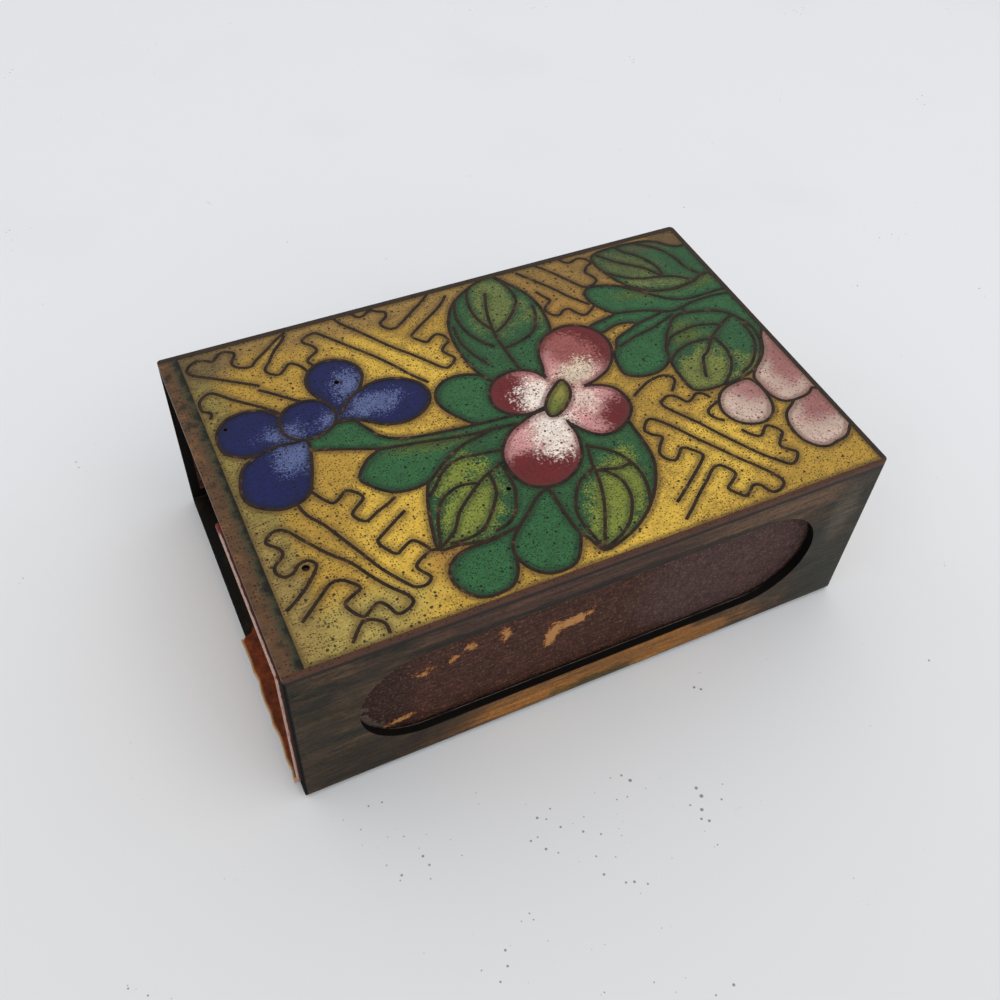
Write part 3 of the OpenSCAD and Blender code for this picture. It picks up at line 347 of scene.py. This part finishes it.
# Sleeve. One sheet of copper bent up into a floor and two side walls, brushed along its
# length and darkened by handling; the two windows are sawn out of it.
sleeve_metal, tree, shader, place = surface("brushed_dark_copper")
streaks = add(tree, "Mapping", {"Vector": place, "Scale": (0.1, 2.2, 2.2)})
streaks = add(tree, "TexNoise", {"Vector": streaks, "Scale": 1, "Detail": 4, "Roughness": 0.65})
fine = add(tree, "Mapping", {"Vector": place, "Scale": (0.5, 10, 10)})
fine = add(tree, "TexNoise", {"Vector": fine, "Scale": 1, "Detail": 3})
cloud = add(tree, "TexNoise", {"Vector": place, "Scale": 1 / 2.5, "Detail": 5, "Roughness": 0.6})
wander = add(tree, "Math", {0: cloud, 1: 6, 2: -3}, operation="MULTIPLY_ADD")
wander = add(tree, "Math", {0: streaks, 1: 3, 2: wander}, operation="MULTIPLY_ADD")
wander = add(tree, "Math", {0: wander, 1: -1.5}, operation="ADD")
blot = add(tree, "Mapping", {"Vector": place, "Scale": (0.22, 0.7, 0.7)})
blot = add(tree, "TexNoise", {"Vector": blot, "Scale": 1, "Detail": 5, "Roughness": 0.6})
colour = laid(tree, "#3a2d21", "#57442e", blot, 0.52, 0.66)
colour = laid(tree, colour, "#1f1f17", blot, 0.47, 0.38)
for tint, soft, share, *where in [
    ("#614936", 1.5, 0.85, 48, 18.2, 11, 1.5), ("#4c342a", 1.2, 0.8, 26, 18.6, 14, 1.2),
    ("#8c5c26", 1.8, 0.95, 30, 2.2, 17, 2.4), ("#34340f", 1, 0.8, 29, 0.9, 5, 1.1),
    ("#30281b", 2, 0.6, 4, 12, 5, 5), ("#221b12", 1.6, 0.7, 8, 3.4, 9, 3), ("#4a3b2b", 1.2, 0.6, 9, 15, 4, 1.6), ("#282a22", 2.5, 0.75, 57, 9, 5, 12),
    ("#554a3d", 1, 0.7, 55, 14, 1.5, 3.5), ("#1c1813", 1, 0.8, 31, 17.2, 20, 0.5),
]:
    reach = add(tree, "Math", {0: oval(tree, place, *where, upright=True), 1: wander}, operation="ADD")
    colour = laid(tree, colour, tint, reach, -soft, soft, share)
colour = shade(tree, colour, streaks, 0.5, 1.5)
colour = shade(tree, colour, fine, 0.6, 1.42)
grains = add(tree, "TexNoise", {"Vector": place, "Scale": 1 / 0.35, "Detail": 4, "Roughness": 0.7})
colour = shade(tree, colour, grains, 0.7, 1.3)
along, side, up = (add(tree, "SeparateXYZ", {0: place}, out=axis) for axis in "XYZ")
pock = dots(tree, place, 0.5, 0.5, 0.11, cloud)
colour = laid(tree, colour, "#15100c", pock, -0.06, 0.12, 0.6)
colour = laid(tree, colour, "#17110c", up, 19.45, 19.65, 0.85)
# Painted shade: the inside of the sleeve, the sawn sills of the windows and the cut tops of the walls are painted
# nearly black, over the dark oxide inside; the underside is left out
across = add(tree, "Math", {0: side}, operation="ABSOLUTE")
under = add(tree, "MapRange", {"Value": up, "From Min": 0.05, "From Max": 0.1, "To Min": 9, "To Max": 0})
shaded_inside = add(tree, "Math", {0: across, 1: under}, operation="ADD")
dark = laid(tree, "#12100d", "#2b2118", cloud, 0.48, 0.7)
dark = laid(tree, "#0c0a08", dark, across, 18.56, 18.5)
colour = laid(tree, colour, dark, shaded_inside, 19.33, 19.3)
# Painted shade: faces turned to the ends, the sheet's cut ends and the round ends of the windows, are painted almost
# black, and are made rougher further down
normal = add(tree, "NewGeometry", out="Normal")
shaded_end_faces = add(tree, "Math", {0: add(tree, "SeparateXYZ", {0: normal})}, operation="ABSOLUTE")
colour = laid(tree, colour, "#080605", shaded_end_faces, 0.5, 0.9, 0.97)
facing = add(tree, "SeparateXYZ", {0: normal}, out="Z")
ledge = add(tree, "MapRange", {"Value": across, "From Min": 18.68, "From Max": 18.6})
wall = add(tree, "MapRange", {"Value": across, "From Min": 18.5, "From Max": 18.54})
ledge = add(tree, "Math", {0: ledge, 1: wall}, operation="MULTIPLY")
ledge = add(tree, "Math", {0: ledge, 1: facing}, operation="MULTIPLY")
ledge = add(tree, "Math", {0: cloud, 1: 0.8, 2: ledge}, operation="MULTIPLY_ADD")
colour = laid(tree, colour, "#6b655c", ledge, 1.2, 1.45, 0.9)
tree.links.new(colour, shader.inputs["Base Color"])
shader.inputs["Metallic"].default_value = 0.15
shader.inputs["Specular IOR Level"].default_value = 0.14
rough = add(tree, "MapRange", {"Value": streaks, "From Min": 0.3, "From Max": 0.7, "To Min": 0.42, "To Max": 0.62})
sawn = add(tree, "MapRange", {"Value": shaded_end_faces, "From Min": 0.5, "From Max": 0.9, "To Min": 0, "To Max": 0.5})
rough = add(tree, "Math", {0: rough, 1: sawn}, operation="ADD", use_clamp=True)
tree.links.new(rough, shader.inputs["Roughness"])
height = add(tree, "Math", {0: streaks, 1: 1.5, 2: fine}, operation="MULTIPLY_ADD")
height = add(tree, "Math", {0: height, 1: grains}, operation="ADD")
bump = add(tree, "Bump", {"Height": height, "Distance": 0.00004, "Strength": 0.7})
tree.links.new(bump, shader.inputs["Normal"])
dress(sleeve_metal, "channel")

# Card cover. Thin brown card folded into a tube, with faded red paper outside; its
# left end is cut off short and torn, the cut edge is worn to a pale pink, and a painted shadow lies just inside it.
cover_card, tree, shader, place = surface("worn_printed_card")
fibre = add(tree, "TexNoise", {"Vector": place, "Scale": 1 / 0.18, "Detail": 5, "Roughness": 0.7})
blotch = add(tree, "TexNoise", {"Vector": place, "Scale": 1 / 1.1, "Detail": 4, "Roughness": 0.6})
along, side, up = (add(tree, "SeparateXYZ", {0: place}, out=axis) for axis in "XYZ")
rag = add(tree, "Math", {0: fibre, 1: 0.9, 2: -0.45}, operation="MULTIPLY_ADD")
colour = laid(tree, "#5e2a15", "#7c3a1c", blotch, 0.42, 0.66)
colour = laid(tree, colour, "#45201a", blotch, 0.42, 0.3, 0.8)
fringe = add(tree, "Math", {0: rag, 1: along}, operation="SUBTRACT")
colour = laid(tree, colour, "#c39560", fringe, 29.4, 29.62, 0.9)
rounded = add(tree, "Bevel", {"Radius": 0.0005}, samples=8)
flat = add(tree, "NewGeometry", out="Normal")
torn = add(tree, "VectorMath", {0: rounded, 1: flat}, out="Value", operation="DOT_PRODUCT")
worn_edge = add(tree, "Math", {0: fibre, 1: 0.2, 2: torn}, operation="MULTIPLY_ADD")
torn = laid(tree, colour, "#d0ab78", worn_edge, 1.07, 0.97, 0.95)
past_cut = add(tree, "MapRange", {"Value": along, "From Min": -29.15, "From Max": -29.25})
colour = add(tree, "Mix", {0: past_cut, 6: colour, 7: torn}, out=2, data_type="RGBA")
outside = add(tree, "Math", {0: side, 1: -1.0}, operation="MULTIPLY")
outside = add(tree, "Math", {0: outside}, operation="ABSOLUTE")
outside = add(tree, "MapRange", {"Value": outside, "From Min": 17.9, "From Max": 18.05})
above = add(tree, "MapRange", {"Value": up, "From Min": 18.9, "From Max": 19.05})
below = add(tree, "MapRange", {"Value": up, "From Min": 1.0, "From Max": 0.85})
above = add(tree, "Math", {0: above, 1: below}, operation="MAXIMUM")
outside = add(tree, "Math", {0: outside, 1: above}, operation="MAXIMUM")
rubbed = add(tree, "TexNoise", {"Vector": place, "Scale": 1 / 5, "Detail": 6, "Roughness": 0.7})
red_print_and_shadow = laid(tree, "#74282d", "#8d4a45", rubbed, 0.45, 0.68)
grazes = add(tree, "Mapping", {"Vector": place, "Rotation": (0, 0, 0.2), "Scale": (0.25, 3, 3)})
grazes = add(tree, "TexNoise", {"Vector": grazes, "Scale": 1, "Detail": 4, "Roughness": 0.7})
red_print_and_shadow = laid(tree, red_print_and_shadow, "#b08a78", grazes, 0.6, 0.74, 0.8)
red_print_and_shadow = laid(tree, red_print_and_shadow, "#c4a58c", worn_edge, 1.06, 0.9, 0.9)
# Painted shadow: a dark brown strip just inside the pale cut edge, on the card's outside
red_print_and_shadow = laid(tree, "#54302a", red_print_and_shadow, along, -28.98, -28.9)
pale = laid(tree, "#d2b4a8", "#b98b80", blotch, 0.5, 0.68)
worn = add(tree, "Math", {0: blotch, 1: 0.3}, operation="MULTIPLY")
worn = add(tree, "Math", {0: worn, 1: along}, operation="SUBTRACT")
print_and_shadow = laid(tree, red_print_and_shadow, pale, worn, 29.24, 29.32)
streak = add(tree, "VectorMath", {0: place, 1: (-29.1, -1.6, 19.0)}, out="Value", operation="DISTANCE")
print_and_shadow = laid(tree, print_and_shadow, "#7a2a30", streak, 1.3, 0.6, 0.9)
colour = add(tree, "Mix", {0: outside, 6: colour, 7: print_and_shadow}, out=2, data_type="RGBA")
colour = shade(tree, colour, fibre, 0.82, 1.16)
tree.links.new(colour, shader.inputs["Base Color"])
shader.inputs["Roughness"].default_value = 0.85
shader.inputs["Specular IOR Level"].default_value = 0.25
bump = add(tree, "Bump", {"Height": fibre, "Distance": 0.00005, "Strength": 0.8})
tree.links.new(bump, shader.inputs["Normal"])
dress(cover_card, "box_cover")

# Striking strips. Dark purple-brown friction paste printed on the card's sides,
# scuffed by matches, with chips that lay the tan card bare.
striker_paste, tree, shader, place = surface("scuffed_striking_paste")
grit = add(tree, "TexNoise", {"Vector": place, "Scale": 1 / 0.26, "Detail": 4, "Roughness": 0.75})
lumps = add(tree, "TexNoise", {"Vector": place, "Scale": 1 / 0.9, "Detail": 4, "Roughness": 0.6})
scuff = add(tree, "Mapping", {"Vector": place, "Scale": (0.5, 4, 4)})
scuff = add(tree, "TexNoise", {"Vector": scuff, "Scale": 1, "Detail": 4})
colour = laid(tree, "#41251b", "#5a3729", scuff, 0.48, 0.68)
wander = add(tree, "Math", {0: lumps, 1: 4, 2: -2}, operation="MULTIPLY_ADD")
for tint, share, *where in [("#4d3835", 0.9, 46, 10, 12, 9), ("#2c1b14", 0.7, 8.5, 10, 2.5, 7), ("#654b40", 0.8, 33, 16, 15, 0.8)]:
    reach = add(tree, "Math", {0: oval(tree, place, *where, upright=True), 1: wander}, operation="ADD")
    colour = laid(tree, colour, tint, reach, -2.5, 2.5, share)
colour = shade(tree, colour, grit, 0.55, 1.45)
colour = shade(tree, colour, lumps, 0.7, 1.3)
wander = add(tree, "Math", {0: lumps, 1: 2.4, 2: -1.2}, operation="MULTIPLY_ADD")
wander = add(tree, "Math", {0: grit, 1: 2.4, 2: wander}, operation="MULTIPLY_ADD")
wander = add(tree, "Math", {0: wander, 1: -1.2}, operation="ADD")
colour = laid(tree, colour, "#93756a", grit, 0.54, 0.7, 0.6)
from_end = add(tree, "VectorMath", {0: place, 1: (1, 0, 1)}, operation="MULTIPLY")
from_end = add(tree, "VectorMath", {0: from_end, 1: (-17, 0, 10.6)}, out="Value", operation="DISTANCE")
from_end = add(tree, "Math", {0: lumps, 1: 3, 2: from_end}, operation="MULTIPLY_ADD")
from_end = add(tree, "Math", {0: from_end, 1: 7.7, 2: 0.45}, operation="COMPARE")
rubbed = laid(tree, colour, "#7c7068", from_end, 0, 1, 0.5)
at_end = add(tree, "SeparateXYZ", {0: place})
at_end = add(tree, "MapRange", {"Value": at_end, "From Min": -19.5, "From Max": -21.5})
colour = add(tree, "Mix", {0: at_end, 6: colour, 7: rubbed}, out=2, data_type="RGBA")
for where in [(26.6, 11.3, 2.3, 0.75, 10), (24.6, 10.4, 0.8, 1.8, -15), (12, 12, 0.6, 0.4, 0), (14.6, 12.4, 0.6, 0.45, 0),
              (16.3, 13.2, 0.5, 0.5, 0), (19.8, 13.2, 0.45, 0.9, 0), (9.4, 5.7, 1.5, 0.45, 10)]:
    reach = add(tree, "Math", {0: oval(tree, place, *where, upright=True), 1: wander}, operation="ADD")
    colour = laid(tree, colour, "#8f5526", reach, -0.02, 0.1)
    colour = laid(tree, colour, "#b98550", reach, 0.1, 0.4)
tree.links.new(colour, shader.inputs["Base Color"])
shader.inputs["Roughness"].default_value = 0.78
shader.inputs["Specular IOR Level"].default_value = 0.22
height = add(tree, "Math", {0: lumps, 1: 2.5, 2: grit}, operation="MULTIPLY_ADD")
bump = add(tree, "Bump", {"Height": height, "Distance": 0.00016, "Strength": 1.0})
tree.links.new(bump, shader.inputs["Normal"])
dress(striker_paste, "striker_front", "striker_back")

# Tray. Grey-brown card, folded up at the sides and ends; it slides in the cover. Its
# folds are rubbed pale and its floor is soiled by the dust of match heads.
tray_card, tree, shader, place = surface("folded_tray_card")
fibre = add(tree, "TexNoise", {"Vector": place, "Scale": 1 / 0.3, "Detail": 4, "Roughness": 0.7})
stain = add(tree, "TexNoise", {"Vector": place, "Scale": 1 / 6, "Detail": 5, "Roughness": 0.6})
colour = laid(tree, "#a78660", "#bfa078", fibre, 0.4, 0.62)
colour = laid(tree, colour, "#8b6b49", stain, 0.52, 0.7, 0.7)
dust = dots(tree, place, 0.8, 0.5, 0.14, stain)
colour = laid(tree, colour, "#5d2f22", dust, -0.04, 0.06, 0.7)
rounded = add(tree, "Bevel", {"Radius": 0.0005}, samples=8)
fold = add(tree, "VectorMath", {0: rounded, 1: add(tree, "NewGeometry", out="Normal")}, out="Value",
           operation="DOT_PRODUCT")
fold = add(tree, "Math", {0: fibre, 1: 0.2, 2: fold}, operation="MULTIPLY_ADD")
colour = laid(tree, colour, "#d6c09b", fold, 1.05, 0.92, 0.8)
tree.links.new(colour, shader.inputs["Base Color"])
shader.inputs["Roughness"].default_value = 0.85
shader.inputs["Specular IOR Level"].default_value = 0.25
bump = add(tree, "Bump", {"Height": fibre, "Distance": 0.00003, "Strength": 0.6})
tree.links.new(bump, shader.inputs["Normal"])
dress(tray_card, "tray")

# Matches. Square aspen sticks with a straight grain, dipped at one end in a dark red
# paste that dries to a rough round head.
stick_wood, tree, shader, place = surface("split_aspen_wood")
fibre = add(tree, "Mapping", {"Vector": place, "Scale": (0.15, 4, 4)})
fibre = add(tree, "TexNoise", {"Vector": fibre, "Scale": 1, "Detail": 4})
tone = add(tree, "TexWhiteNoise", {"Vector": add(tree, "VectorMath", {0: place, 1: (99, 3.3, 3)}, operation="SNAP")})
colour = laid(tree, "#cba878", "#dcbf93", tone, 0.2, 0.8)
colour = laid(tree, colour, "#a8804f", fibre, 0.48, 0.68, 0.8)
tree.links.new(colour, shader.inputs["Base Color"])
shader.inputs["Roughness"].default_value = 0.75
bump = add(tree, "Bump", {"Height": fibre, "Distance": 0.00003, "Strength": 0.6})
tree.links.new(bump, shader.inputs["Normal"])
dress(stick_wood, "match_sticks")
head_paste, tree, shader, place = surface("dried_match_paste")
grit = add(tree, "TexNoise", {"Vector": place, "Scale": 1 / 0.2, "Detail": 3})
colour = laid(tree, "#6e2a22", "#8a3a2c", grit, 0.45, 0.62)
tree.links.new(colour, shader.inputs["Base Color"])
shader.inputs["Roughness"].default_value = 0.7
bump = add(tree, "Bump", {"Height": grit, "Distance": 0.00006, "Strength": 0.8})
tree.links.new(bump, shader.inputs["Normal"])
dress(head_paste, "match_heads")
